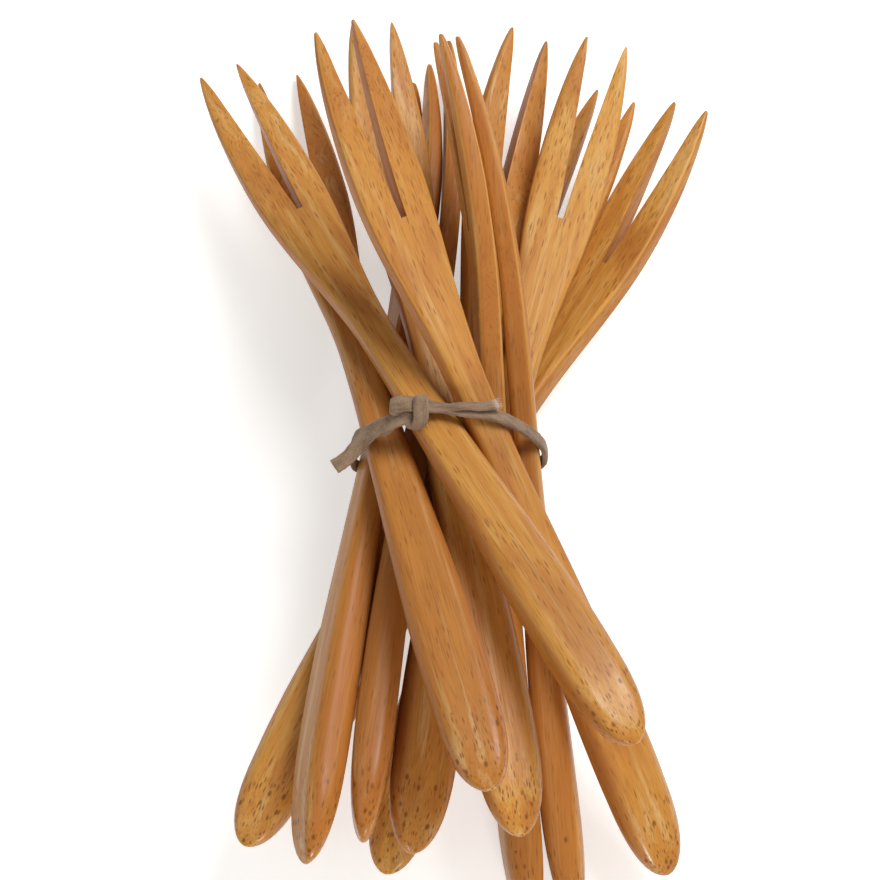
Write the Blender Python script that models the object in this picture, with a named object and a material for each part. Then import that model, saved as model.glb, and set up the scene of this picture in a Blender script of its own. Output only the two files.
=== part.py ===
"""A bundle of two-tined bamboo forks, lying on a table, tied at the waist with one flat suede lace.

Metres, +Z up. Fork heads point to +Y, handles to -Y. The origin is on the table under the bundle.
"""

from math import cos, pi, radians, sin, tan

import bmesh
import bpy
import numpy as np
from mathutils import Matrix, Quaternion, Vector
from mathutils.geometry import intersect_point_tri

# Fork, along its own length from the handle end to the tips
LENGTH = 0.215
HANDLE_WIDTH = 0.0152
HANDLE_WIDEST_AT = 0.030
NECK_WIDTH = 0.0089
NECK_AT = 0.125
HEAD_WIDTH = 0.0183
HEAD_WIDEST_AT = 0.178
HANDLE_THICKNESS = 0.0092
NECK_THICKNESS = 0.0060
HEAD_THICKNESS = 0.0046
TIP_THICKNESS = 0.0022
GRIP_EDGE_RADIUS = 0.0036
HEAD_EDGE_RADIUS = 0.0012
ROUNDEST = 0.9

# Tines
SLOT_LENGTH = 0.047
SLOT_WIDTH = 0.0016
TIP_SPACING = 0.0104
TIP_WIDTH = 0.0013

# How full the outline is where it rounds off: at the handle end, seen from above and from the side,
# and along the outer and inner edge of the tines
END_FULLNESS = (2.8, 0.57)
END_FULLNESS_SIDE = (2.6, 0.60)
OUTER_EDGE_POWER = 2.3
INNER_EDGE_POWER = 1.2
THINNING_POWER = 1.5

# Side view: the head rises out of the line of the handle, and the handle end droops a little
HEAD_RISE = 0.0080
RISE_STARTS_AT = 0.145
END_DROOP = 0.0022
DROOP_ENDS_AT = 0.070

# Bundle
CLEARANCE = 0.0003
TIE_AT = 0.002
LACE_BACK = 0.003
TIE_LEAN = radians(12)
SKIN_RINGS = 44
ROOM = 1.5 * CLEARANCE
SETTLED = 0.2 * CLEARANCE
GATHER_STEPS = 80
SQUEEZE = 0.10
DEEP = 0.0015
PARALLEL = 0.2
DRAW_BACK = 0.10

# Lace
LACE_WIDTH = 0.0030
LACE_THICKNESS = 0.0013
KNOT_LENGTH = 0.0088
KNOT_WIDTH = 0.0072
KNOT_HEIGHT = 0.0056
CORNER_STEP = radians(15)
BELT_STEPS = 720
LACE_ROOM = 1.3 * CLEARANCE
KNOT_SINK = 0.05 * KNOT_HEIGHT
KNOT_AT = -0.0065
LEFT_TAIL = (
    (0.000, 0.0000, 0.0000), (-0.0045, -0.0010, -0.0008), (-0.0095, -0.0045, -0.0030),
    (-0.0125, -0.0080, -0.0060), (-0.0185, -0.0135, -0.0090),
)
RIGHT_TAIL = (
    (0.000, 0.0000, 0.0000), (0.0060, 0.0004, -0.0030), (0.0120, 0.0012, -0.0200), (0.0180, 0.0024, -0.0200),
    (0.0220, 0.0034, -0.0200),
)

# Each fork: where it crosses the tie (x, z from the middle of the tie), how far its head leans to
# +X and climbs to +Z in degrees, how far its middle lies ahead of the tie, and its turn about its
# own length in degrees.
FORKS = {
    "fork_01": ((0.0030, 0.0145), -30.5, -17, 0.011, 14),
    "fork_02": ((-0.0210, 0.0090), -17, -20, 0.007, 8),
    "fork_03": ((0.0040, 0.0130), -22, 20, -0.009, 22),
    "fork_04": ((0.0005, 0.0055), -10, -12, 0.006, 20),
    "fork_05": ((-0.0125, -0.0010), 8, -10, 0.000, -58),
    "fork_06": ((-0.0050, -0.0020), 8, -10, 0.006, -80),
    "fork_07": ((0.0090, 0.0020), -4, 15, -0.012, -76),
    "fork_08": ((0.0150, 0.0015), 1, 14, -0.010, -86),
    "fork_09": ((0.0035, -0.0055), 6, -8, 0.005, 30),
    "fork_10": ((0.0160, -0.0080), 9, -4, 0.001, 4),
    "fork_11": ((0.0025, -0.0150), 25, -6, -0.001, -8),
    "fork_12": ((0.0105, -0.0140), 32, -8, -0.001, -24),
}

BAMBOO = (0.60, 0.33, 0.12)
SUEDE = (0.24, 0.18, 0.13)


def ease(t):
    """0 to 1 with flat ends."""
    t = np.clip(t, 0, 1)
    return t * t * (3 - 2 * t)


def rounded_end(s, fullness):
    """0 at the handle end to 1 where the handle is widest."""
    power, root = fullness
    return (1 - np.clip(1 - s / HANDLE_WIDEST_AT, 0, 1) ** power) ** root


def along_tines(s):
    """0 where the head is widest to 1 at the tips."""
    return np.clip((s - HEAD_WIDEST_AT) / (LENGTH - HEAD_WIDEST_AT), 0, 1)


def half_width(s):
    """Half the width of the fork's outline at s from the handle end."""
    s = np.asarray(s, float)
    grip, neck, head = HANDLE_WIDTH / 2, NECK_WIDTH / 2, HEAD_WIDTH / 2
    tip = (TIP_SPACING + TIP_WIDTH) / 2
    handle_end = grip * rounded_end(s, END_FULLNESS)
    handle = grip + (neck - grip) * ease((s - HANDLE_WIDEST_AT) / (NECK_AT - HANDLE_WIDEST_AT))
    shoulder = neck + (head - neck) * ease((s - NECK_AT) / (HEAD_WIDEST_AT - NECK_AT))
    tines = head - (head - tip) * along_tines(s) ** OUTER_EDGE_POWER
    bands = [s < HANDLE_WIDEST_AT, s < NECK_AT, s < HEAD_WIDEST_AT]
    return np.select(bands, [handle_end, handle, shoulder], tines)


def half_thickness(s):
    """Half the thickness of the fork at s from the handle end."""
    s = np.asarray(s, float)
    grip, neck, head, tip = HANDLE_THICKNESS, NECK_THICKNESS, HEAD_THICKNESS, TIP_THICKNESS
    handle_end = grip * rounded_end(s, END_FULLNESS_SIDE)
    handle = grip + (neck - grip) * ease((s - HANDLE_WIDEST_AT) / (NECK_AT - HANDLE_WIDEST_AT))
    shoulder = neck + (head - neck) * ease((s - NECK_AT) / (HEAD_WIDEST_AT - NECK_AT))
    tines = head - (head - tip) * along_tines(s) ** THINNING_POWER
    bands = [s < HANDLE_WIDEST_AT, s < NECK_AT, s < HEAD_WIDEST_AT]
    return np.select(bands, [handle_end, handle, shoulder], tines) / 2


def rise(s):
    """Height of the fork's middle line at s from the handle end."""
    s = np.asarray(s, float)
    head = np.clip((s - RISE_STARTS_AT) / (LENGTH - RISE_STARTS_AT), 0, 1)
    end = np.clip(1 - s / DROOP_ENDS_AT, 0, 1)
    return HEAD_RISE * head**2 - END_DROOP * end**2


def edge_radius(s, a, b):
    """Round of the long edges at s, where the half width is a and the half thickness b."""
    softness = 1 - ease((s - HANDLE_WIDEST_AT) / (HEAD_WIDEST_AT - HANDLE_WIDEST_AT))
    radius = HEAD_EDGE_RADIUS + (GRIP_EDGE_RADIUS - HEAD_EDGE_RADIUS) * softness
    return np.minimum(radius, ROUNDEST * np.minimum(a, b))


def section(s, corner_points):
    """Points round the fork at s: a rectangle with round corners, in fork coordinates."""
    a, b = float(half_width(s)), float(half_thickness(s))
    r = float(edge_radius(s, a, b))
    points = []
    for corner, (side, face) in enumerate(((1, 1), (-1, 1), (-1, -1), (1, -1))):
        for step in range(corner_points):
            angle = pi / 2 * (corner + step / (corner_points - 1))
            x = (a - r) * side + r * cos(angle)
            z = (b - r) * face + r * sin(angle) + float(rise(s))
            points.append(Vector((x, s, z)))
    return points


def stations(end_steps, body_steps):
    """Places along the fork, close together where the handle end rounds off."""
    end = [HANDLE_WIDEST_AT * (1 - cos(pi / 2 * (k + 0.35) / end_steps)) for k in range(end_steps)]
    body = np.linspace(HANDLE_WIDEST_AT, LENGTH, body_steps)
    return end + list(body)


def new_object(name, mesh, material=None):
    """A named object that shows the mesh in the scene."""
    thing = bpy.data.objects.new(name, mesh)
    bpy.context.scene.collection.objects.link(thing)
    if material is not None:
        mesh.materials.append(material)
    return thing


def to_mesh(bm, name):
    """The bmesh as a mesh with its faces pointing out."""
    bmesh.ops.recalc_face_normals(bm, faces=bm.faces)
    mesh = bpy.data.meshes.new(name)
    bm.to_mesh(mesh)
    bm.free()
    return mesh


def loft(bm, rings, closed=False):
    """Bridges rings of points in order, and caps the ends of an open run."""
    loops = []
    for ring in rings:
        verts = [bm.verts.new(p) for p in ring]
        loops.append([bm.edges.new((a, b)) for a, b in zip(verts, verts[1:] + verts[:1])])
    if closed:
        loops.append(loops[0])
    for a, b in zip(loops, loops[1:]):
        bmesh.ops.bridge_loops(bm, edges=a + b)
    if not closed:
        bmesh.ops.contextual_create(bm, geom=loops[0])
        bmesh.ops.contextual_create(bm, geom=loops[-1])


def principled(name, colour, roughness):
    """A plain finish for one piece."""
    material = bpy.data.materials.new(name)
    material.use_nodes = True
    shader = material.node_tree.nodes["Principled BSDF"]
    shader.inputs["Base Color"].default_value = (*colour, 1)
    shader.inputs["Roughness"].default_value = roughness
    shader.inputs["Metallic"].default_value = 0
    return material


def slot_cutter():
    """The wedge between the tines: square at its root and open at the tips."""
    root = LENGTH - SLOT_LENGTH
    half, inner_tip = SLOT_WIDTH / 2, (TIP_SPACING - TIP_WIDTH) / 2
    right = []
    for t in np.linspace(0, 1, 6):
        right.append((half + (inner_tip - half) * t**INNER_EDGE_POWER, root + SLOT_LENGTH * t))
    right.append((inner_tip + half / 2, LENGTH + SLOT_WIDTH))
    outline = right + [(-x, y) for x, y in reversed(right)]
    bm = bmesh.new()
    low, high = -HEAD_THICKNESS, HEAD_RISE + HEAD_THICKNESS
    loft(bm, [[Vector((x, y, z)) for x, y in outline] for z in (low, high)])
    return new_object("slot_cutter", to_mesh(bm, "slot_cutter"))


def fork_mesh():
    """One fork lying along +Y, with its handle end at y = 0 and its broad faces up and down."""
    bm = bmesh.new()
    loft(bm, [section(s, 4) for s in stations(5, 18)])
    blank = new_object("fork_blank", to_mesh(bm, "fork_blank"))
    cutter = slot_cutter()
    cut = blank.modifiers.new("slot", "BOOLEAN")
    cut.operation = "DIFFERENCE"
    cut.solver = "EXACT"
    cut.object = cutter
    evaluated = blank.evaluated_get(bpy.context.evaluated_depsgraph_get())
    mesh = bpy.data.meshes.new_from_object(evaluated)
    mesh.name = "fork"
    for thing in (blank, cutter):
        bpy.data.objects.remove(thing)
    return mesh


def first_pose(crossing, lean, climb, ahead, turn):
    """Place of a fork's middle, and its axes, before the forks are pressed apart."""
    along = Vector((tan(radians(lean)), 1, tan(radians(climb)))).normalized()
    across = along.cross(Vector((0, 0, 1))).normalized()
    up = across.cross(along)
    axes = Matrix((across, along, up)).transposed() @ Matrix.Rotation(radians(turn), 3, "Y")
    return Vector((crossing[0], TIE_AT, crossing[1])) + along * ahead, axes


def outside(points, gap):
    """How far each point, in fork coordinates, is inside the fork grown by gap, and the way out."""
    x, s, z = points[:, 0], points[:, 1], points[:, 2] - rise(points[:, 1])
    beyond = np.maximum(np.maximum(-s, s - LENGTH), 0)
    a, b = half_width(s), half_thickness(s)
    radius = edge_radius(s, a, b)
    past_x = np.abs(x) - a + radius
    past_z = np.abs(z) - b + radius
    corner = np.hypot(np.maximum(past_x, 0), np.maximum(past_z, 0))
    distance = corner + np.minimum(np.maximum(past_x, past_z), 0) - radius + beyond
    way = np.zeros_like(points)
    is_corner = corner > 0
    by_x = past_x > past_z
    way[:, 0] = np.sign(x) * np.where(is_corner, np.maximum(past_x, 0), by_x)
    way[:, 2] = np.sign(z) * np.where(is_corner, np.maximum(past_z, 0), ~by_x)
    way /= np.maximum(np.linalg.norm(way, axis=1), 1e-9)[:, None]
    return gap - distance, way


class Stick:
    """One fork as a rigid body: place of its middle, axes, and points on its skin."""

    def __init__(self, skin, middle, axes):
        self.skin = skin - [0, LENGTH / 2, 0]
        self.middle = np.array(middle)
        self.axes = np.array(axes)
        self.home = self.middle - self.axes[:, 1] * self.middle[1] / self.axes[1, 1]
        self.ends = [self.middle + side * self.axes[:, 1] * LENGTH / 2 for side in (-1, 1)]
        self.settle()

    def settle(self):
        """Works out where the skin is now."""
        self.points = self.skin @ self.axes.T + self.middle

    def depth(self, points, gap):
        """How deep world points lie in this fork grown by gap, and the way out of it."""
        local = (points - self.middle) @ self.axes + [0, LENGTH / 2, 0]
        depth, way = np.full(len(points), -LENGTH), np.zeros_like(points)
        near = np.abs(local[:, 0]) < HEAD_WIDTH
        if near.any():
            depth[near], way[near] = outside(local[near], gap)
        return depth, way @ self.axes.T

    def push(self, at, by):
        """Moves the fork by a push at a point, turning it as a free rod would turn."""
        vector = np.cross(at - self.middle, by) / (LENGTH**2 / 12)
        angle = float(np.linalg.norm(vector))
        self.middle = self.middle + by
        if angle > 0:
            turn = Quaternion(Vector(vector / angle), angle).to_matrix()
            self.axes = np.array(turn) @ self.axes

    def draw_back(self, share):
        """Draws both ends of the fork towards where they were first laid."""
        for side, home in zip((-1, 1), self.ends):
            end = self.middle + side * self.axes[:, 1] * LENGTH / 2
            self.push(end, (home - end) * share)

    def squeeze(self, share):
        """Draws the fork to the middle of the tie, as the lace does."""
        along = self.axes[:, 1]
        at = self.middle + along * (TIE_AT - self.middle[1]) / along[1]
        self.push(at, -at * [share, 0, share])


def as_laid(pushed, wall):
    """The way from one fork to the other in the order that they were first laid."""
    order = (pushed.home - wall.home) * [1, 0, 1]
    normal = np.cross(pushed.axes[:, 1], wall.axes[:, 1]) * [1, 0, 1]
    if np.linalg.norm(normal) < PARALLEL:
        return order
    return normal * np.sign(normal @ order)


def press_apart(a, b, gap, deepest=LENGTH):
    """Pushes two forks apart where they are closest, and returns how deep they were."""
    worst = 0.0
    for pushed, wall in ((a, b), (b, a)):
        depth, way = wall.depth(pushed.points, gap)
        touching = depth > 0
        if touching.any():
            weight = depth[touching]
            at = weight @ pushed.points[touching] / weight.sum()
            out = weight @ way[touching] * [1, 0, 1]
            if weight.max() > deepest:
                out = as_laid(pushed, wall)
            out /= max(np.linalg.norm(out), 1e-9)
            lever = np.linalg.norm(np.cross(at - pushed.middle, out)) ** 2 / (LENGTH**2 / 12)
            step = out * weight.max() / (2 + 2 * lever)
            pushed.push(at, step)
            wall.push(at, -step)
            pushed.settle()
            wall.settle()
            worst = max(worst, weight.max())
    return worst


def gather():
    """The forks drawn together by the lace, and pressed apart until all are clear."""
    skin = np.array([p for s in np.linspace(0.002, LENGTH, SKIN_RINGS) for p in section(s, 3)])
    sticks = [Stick(skin, *first_pose(*pose)) for pose in FORKS.values()]
    pairs = [(a, b) for k, a in enumerate(sticks) for b in sticks[k + 1:]]
    for share in np.linspace(1, 0, GATHER_STEPS):
        for stick in sticks:
            stick.squeeze(SQUEEZE * share)
            stick.draw_back(DRAW_BACK * share)
            stick.settle()
        for a, b in pairs:
            press_apart(a, b, ROOM)
    for step in range(GATHER_STEPS):
        if max(press_apart(a, b, ROOM, DEEP) for a, b in pairs) < SETTLED:
            break
    return sticks


def table_turn(sticks):
    """Turns the bundle onto the three points it would come to rest on, a little away from level."""
    skins = np.concatenate([stick.points for stick in sticks])
    centre = Vector(np.mean([stick.points.mean(0) for stick in sticks], axis=0))
    bm = bmesh.new()
    for point in skins:
        bm.verts.new(point)
    bmesh.ops.convex_hull(bm, input=bm.verts)
    resting = [
        face.normal.copy()
        for face in bm.faces
        if len(face.verts) == 3 and intersect_point_tri(centre, *[v.co for v in face.verts])
    ]
    bm.free()
    down = min(resting, key=lambda normal: normal.z)
    return down.rotation_difference(Vector((0, 0, -1))).to_matrix().to_4x4()


def fork_places(sticks):
    """World matrices that lay the forks on the table, centred over the origin, and the bundle's own."""
    turn = table_turn(sticks)
    skins = np.concatenate([stick.points for stick in sticks])
    laid = skins @ np.array(turn.to_3x3()).T
    low, high = laid.min(0), laid.max(0)
    bundle = Matrix.Translation((-(low[0] + high[0]) / 2, -(low[1] + high[1]) / 2, -low[2])) @ turn
    places = []
    for stick in sticks:
        own = Matrix.Translation(stick.middle) @ Matrix(stick.axes.tolist()).to_4x4()
        places.append(bundle @ own @ Matrix.Translation((0, -LENGTH / 2, 0)))
    return places, bundle


def tie_frame():
    """The plane of the lace: X across, Y along the bundle, Z up, its top leaning to the heads."""
    return Matrix.Translation((0, TIE_AT - LACE_BACK, 0)) @ Matrix.Rotation(-TIE_LEAN, 4, "X")


def dense_skin(sticks):
    """Many points on the forks' skin, in the bundle."""
    rings = np.arange(0, LENGTH, LACE_WIDTH / 4)
    skin = np.array([p for s in rings for p in section(s, 4)]) - [0, LENGTH / 2, 0]
    return np.concatenate([skin @ stick.axes.T + stick.middle for stick in sticks])


def belt(skin):
    """Points and outward directions, in the plane of the tie, of a belt drawn tight round the forks."""
    inverse = np.array(tie_frame().inverted())
    local = skin @ inverse[:3, :3].T + inverse[:3, 3]
    near = local[np.abs(local[:, 1]) < LACE_WIDTH / 2 + CLEARANCE][:, [0, 2]]
    offset = LACE_ROOM + LACE_THICKNESS / 2
    kept = []
    for angle in np.linspace(0, 2 * pi, BELT_STEPS, endpoint=False):
        outward = np.array([cos(angle), sin(angle)])
        point = near[np.argmax(near @ outward)] + outward * offset
        if kept:
            strides = np.linalg.norm(point - kept[-1][0]) > LACE_WIDTH / 2
            turns = angle - kept[-1][2] > CORNER_STEP
        if not kept or strides or turns:
            kept.append((point, outward, angle))
    return [(point, outward) for point, outward, angle in kept]


def strip_ring(point, face, across):
    """The lace's section at a point: a flat strip with its corners taken off."""
    w, t = LACE_WIDTH / 2, LACE_THICKNESS / 2
    corners = ((1, 0.4), (0.75, 1), (-0.75, 1), (-1, 0.4), (-1, -0.4), (-0.75, -1), (0.75, -1), (1, -0.4))
    return [point + across * (w * a) + face * (t * b) for a, b in corners]


def loop_mesh(track):
    """The lace's closed turn round the forks."""
    rings = []
    for (x, z), (out_x, out_z) in track:
        rings.append(strip_ring(Vector((x, 0, z)), Vector((out_x, 0, out_z)), Vector((0, 1, 0))))
    bm = bmesh.new()
    loft(bm, rings, closed=True)
    mesh = to_mesh(bm, "loop")
    mesh.transform(tie_frame())
    return mesh


def knot_mesh(centre):
    """The knot, as one rounded lump."""
    bm = bmesh.new()
    bmesh.ops.create_uvsphere(bm, u_segments=16, v_segments=9, radius=0.5)
    bmesh.ops.scale(bm, vec=(KNOT_LENGTH, KNOT_WIDTH, KNOT_HEIGHT), verts=bm.verts)
    bmesh.ops.translate(bm, vec=centre, verts=bm.verts)
    return to_mesh(bm, "knot")


def smooth_path(points, steps):
    """Points along a Catmull-Rom curve through the given ones."""
    path = []
    ends = [points[0] * 2 - points[1], *points, points[-1] * 2 - points[-2]]
    for a, b, c, d in zip(ends, ends[1:], ends[2:], ends[3:]):
        for t in np.linspace(0, 1, steps, endpoint=False):
            near = b * 2 + (c - a) * t + (a * 2 - b * 5 + c * 4 - d) * t**2
            path.append((near + (b * 3 - a - c * 3 + d) * t**3) / 2)
    return path + [points[-1]]


def laid_on(path, skin, lift):
    """The path raised, where forks lie below it, to lie on them with a thickness of lift between."""
    heights = []
    for point in path:
        under = skin[np.hypot(skin[:, 0] - point.x, skin[:, 1] - point.y) < LACE_WIDTH * 0.7]
        top = under[:, 2].max() + CLEARANCE + LACE_THICKNESS / 2 + lift if len(under) else point.z
        heights.append(max(point.z, top))
    padded = [heights[0]] + heights + [heights[-1]]
    highest = [max(padded[k : k + 3]) for k in range(len(heights))]
    padded = [highest[0]] + highest + [highest[-1]]
    return [Vector((p.x, p.y, sum(padded[k : k + 3]) / 3)) for k, p in enumerate(path)]


def tail_mesh(knot, tail, skin, lift):
    """A loose end of the lace, from the knot over the forks below it."""
    path = laid_on(smooth_path([knot + Vector(p) for p in tail], 3), skin, lift)
    rings = []
    for here, ahead in zip(path, path[1:] + [path[-1] * 2 - path[-2]]):
        along = (ahead - here).normalized()
        across = along.cross(Vector((0, 0, 1))).normalized()
        rings.append(strip_ring(here, across.cross(along), across))
    bm = bmesh.new()
    loft(bm, rings)
    return to_mesh(bm, "tail")


def united(name, meshes):
    """One body made of overlapping closed meshes."""
    base, *others = [new_object(name, mesh) for mesh in meshes]
    for other in others:
        join = base.modifiers.new("join", "BOOLEAN")
        join.operation = "UNION"
        join.solver = "EXACT"
        join.object = other
    evaluated = base.evaluated_get(bpy.context.evaluated_depsgraph_get())
    mesh = bpy.data.meshes.new_from_object(evaluated)
    mesh.name = name
    for thing in (base, *others):
        bpy.data.objects.remove(thing)
    return mesh


def lace_mesh(sticks):
    """The whole lace: its turn round the forks, the knot on top at the left, and two loose ends."""
    skin = dense_skin(sticks)
    track = belt(skin)
    x, z = min((p for p, outward in track if outward[1] > 0), key=lambda p: abs(p[0] - KNOT_AT))
    seat = tie_frame() @ Vector((x, 0, z))
    close = np.abs(skin[:, :2] - seat[:2]) < (KNOT_LENGTH / 2, KNOT_WIDTH / 3)
    seat.z = skin[close.all(axis=1), 2].max() + CLEARANCE + KNOT_HEIGHT / 2 - KNOT_SINK
    left = tail_mesh(seat, LEFT_TAIL, skin, 0)
    right = tail_mesh(seat, RIGHT_TAIL, skin, LACE_THICKNESS + CLEARANCE)
    return united("tie_lace", [loop_mesh(track), knot_mesh(seat), left, right])


def main():
    for thing in list(bpy.data.objects):
        bpy.data.objects.remove(thing)
    mesh = fork_mesh()
    sticks = gather()
    places, bundle = fork_places(sticks)
    for name, place in zip(FORKS, places):
        piece = new_object(name, mesh.copy(), principled(name, BAMBOO, 0.45))
        piece.matrix_world = place
    lace = new_object("tie_lace", lace_mesh(sticks), principled("suede_lace", SUEDE, 0.9))
    lace.matrix_world = bundle


if __name__ == "__main__":
    main()
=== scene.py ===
"""A bundle of bamboo forks tied with a suede lace: finish, camera, light and floor.

Laid out as a Blender add-on and run as a script. Metres, +Z up, fork heads towards +Y.
"""

from math import cos, pi, radians, sin

import bmesh
import bpy
import numpy as np
from bpy.props import FloatProperty, FloatVectorProperty, PointerProperty
from mathutils import Matrix, Vector, noise
from mathutils.bvhtree import BVHTree


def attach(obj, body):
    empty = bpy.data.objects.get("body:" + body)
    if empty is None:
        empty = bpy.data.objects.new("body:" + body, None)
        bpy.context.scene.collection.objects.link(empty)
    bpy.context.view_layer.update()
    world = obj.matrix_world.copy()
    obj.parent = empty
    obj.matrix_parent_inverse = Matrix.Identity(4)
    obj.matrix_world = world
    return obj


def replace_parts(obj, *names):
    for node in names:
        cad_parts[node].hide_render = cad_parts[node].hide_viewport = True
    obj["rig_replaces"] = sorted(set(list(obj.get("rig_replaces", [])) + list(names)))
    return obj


bl_info = {
    "name": "Tied bamboo forks",
    "version": (1, 0, 0),
    "blender": (4, 5, 0),
    "location": "3D View > Sidebar > Forks",
    "description": "Dresses a bundle of bamboo forks and the lace round it",
    "category": "Object",
}

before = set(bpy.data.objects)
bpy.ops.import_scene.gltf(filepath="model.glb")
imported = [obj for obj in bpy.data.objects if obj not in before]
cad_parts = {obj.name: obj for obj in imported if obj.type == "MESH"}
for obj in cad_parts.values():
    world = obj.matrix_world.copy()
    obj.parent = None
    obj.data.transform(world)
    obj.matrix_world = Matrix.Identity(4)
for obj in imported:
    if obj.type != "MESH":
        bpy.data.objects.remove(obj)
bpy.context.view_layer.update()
FORKS = sorted(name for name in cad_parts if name.startswith("fork_"))
MM = 0.001

# The noise starts from the same place each time, so that each run gives the same bundle.
noise.seed_set(1)


def linear(hex_colour):
    """A six-figure sRGB hex colour as linear red, green, blue and alpha."""
    channels = [int(hex_colour[k : k + 2], 16) / 255 for k in (1, 3, 5)]
    return [c / 12.92 if c <= 0.04045 else ((c + 0.055) / 1.055) ** 2.4 for c in channels] + [1.0]


def length_prop(name, description, default):
    """A length in metres that the user may change."""
    return FloatProperty(
        name=name, description=description, default=default, unit="LENGTH", precision=5
    )


def colour_prop(name, description, hex_colour):
    """A colour that the user may change, given as sRGB hex."""
    return FloatVectorProperty(
        name=name, description=description, default=linear(hex_colour),
        subtype="COLOR", size=4, min=0, max=1,
    )


class ForkSizes(bpy.types.PropertyGroup):
    """One bamboo fork, measured along its own length from the handle end."""

    length: length_prop("Length", "From the handle end to the tips", 0.215)
    handle_width: length_prop("Handle width", "Widest width of the grip", 0.0152)
    handle_widest_at: length_prop("Handle widest at", "Where the grip is widest", 0.030)
    neck_width: length_prop("Neck width", "Narrowest width, under the lace", 0.0089)
    neck_at: length_prop("Neck at", "Where the fork is narrowest", 0.125)
    head_width: length_prop("Head width", "Widest width of the head", 0.0183)
    head_widest_at: length_prop("Head widest at", "Where the head is widest", 0.178)
    handle_thickness: length_prop("Handle thickness", "Thickness of the grip", 0.0092)
    neck_thickness: length_prop("Neck thickness", "Thickness under the lace", 0.0060)
    head_thickness: length_prop("Head thickness", "Thickness at the root of the tines", 0.0046)
    tip_thickness: length_prop("Tip thickness", "Thickness at the tips", 0.0022)
    grip_edge_radius: length_prop("Grip edge radius", "Sanded round of the grip's long edges", 0.0036)
    head_edge_radius: length_prop("Head edge radius", "Sanded round of the head's edges", 0.0012)
    slot_length: length_prop("Slot length", "Depth of the gap between the tines", 0.047)
    slot_width: length_prop("Slot width", "Gap between the tines at its root", 0.0016)
    tip_spacing: length_prop("Tip spacing", "Between the middles of the tips", 0.0104)
    tip_width: length_prop("Tip width", "Width of one tip", 0.0013)
    head_rise: length_prop("Head rise", "How far the tips rise out of the handle's line", 0.0080)
    rise_starts_at: length_prop("Rise starts at", "Where the head begins to rise", 0.145)
    end_droop: length_prop("End droop", "How far the handle end hangs below its line", 0.0022)
    droop_ends_at: length_prop("Droop ends at", "Where the droop of the handle ends", 0.070)
    slot_edge: length_prop("Slot edge", "Broken edge of the sawn slot", 0.0004)
    tip_taper: length_prop("Tip taper", "How far back the tips are sanded to a point", 0.007)
    end_plump: length_prop("End plump", "How much fuller than the pattern the handle end is", 0.0007)
    waver: length_prop("Waver", "How far hand sanding strays from the pattern", 0.00022)


class BambooColours(bpy.types.PropertyGroup):
    """Colours of the oiled bamboo."""

    pale: colour_prop("Pale", "The lightest forks", "#DDA24C")
    deep: colour_prop("Deep", "The darkest forks", "#B67030")
    bleached: colour_prop("Bleached", "Pale streaks along the grain", "#DDB478")
    fleck: colour_prop("Fleck", "Short flecks along the grain", "#9E6029")
    fibre: colour_prop("Fibre", "Cut ends of the fibres on the handle ends", "#7A431B")
    streak: colour_prop("Streak", "Broad warm streaks along the grain", "#C98538")
    # Painted shade: the darker colour that the narrow side faces are given, standing in for the shade on
    # the side walls.
    edge: colour_prop("Edge", "Narrow faces, cut through the wall of the cane", "#B0682A")


class LaceLooks(bpy.types.PropertyGroup):
    """The flat suede lace."""

    width: length_prop("Width", "Width of the flat lace", 0.0031)
    thickness: length_prop("Thickness", "Thickness of the lace", 0.0014)
    clearance: length_prop("Clearance", "Gap to what the lace lies on", 0.0003)
    knot_at: length_prop("Knot at", "How far the knot sits to the right of the middle", -0.0095)
    nap: colour_prop("Nap", "Brushed side of the suede", "#9A7F67")
    # Painted shade: the colour that the creases of the nap are darkened towards.
    shade: colour_prop("Shade", "Darker hollows in the nap", "#68523F")
    tips: colour_prop("Tips", "Light tips of the nap", "#C0A88E")
    frayed: colour_prop("Frayed", "Torn fibres at the loose end", "#C9AE9C")


class StageLooks(bpy.types.PropertyGroup):
    """Camera, light and floor."""

    distance: length_prop("Camera distance", "From the camera to the middle of the bundle", 0.650)
    elevation: FloatProperty(
        name="Elevation", description="Camera's angle above the table",
        default=radians(74), subtype="ANGLE",
    )
    frame_width: length_prop("Frame width", "Width that the photograph takes in", 0.2095)
    aim_across: length_prop("Aim across", "Where the camera aims, to the right", -0.0034)
    aim_along: length_prop("Aim along", "Where the camera aims, to the heads", -0.0020)
    aim_height: length_prop("Aim height", "Height that the camera aims at", 0.038)
    floor: colour_prop("Floor", "Pale floor", "#F4F4F2")


# How full the outline's curves are. For the handle end these are the power and the root that round it
# off in width and in thickness, and for the rest the power with which each tapers towards the tips.
END_IN_WIDTH = (2.8, 0.57)
END_IN_THICKNESS = (2.6, 0.60)
TINES_IN_WIDTH = 2.3
TINES_IN_THICKNESS = 1.5
SLOT_IN_WIDTH = 1.2

# Points on each long edge of a section, and rings on the handle end and on the rest of the fork: coarse
# for the fork as it was packed, fine for the finished one.
PATTERN_EDGE, PATTERN_RINGS = 4, (5, 18)
FINE_EDGE, FINE_RINGS = 7, (16, 150)

# Lines along the head, in millimetres from its middle, that keep the faces at the slot's root small.
HEAD_CUTS = (-3.4, -1.7, 1.7, 3.4)
SAWN_ANGLE = radians(50)
CRISP_ANGLE = radians(28)


def ease(t):
    """0 to 1 with flat ends."""
    t = np.clip(t, 0, 1)
    return t * t * (3 - 2 * t)


def rounded_end(size, s, power, root):
    """0 at the handle end to 1 where the handle is widest."""
    return (1 - np.clip(1 - s / size.handle_widest_at, 0, 1) ** power) ** root


def along_tines(size, s):
    """0 where the head is widest to 1 at the tips."""
    return np.clip((s - size.head_widest_at) / (size.length - size.head_widest_at), 0, 1)


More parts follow.
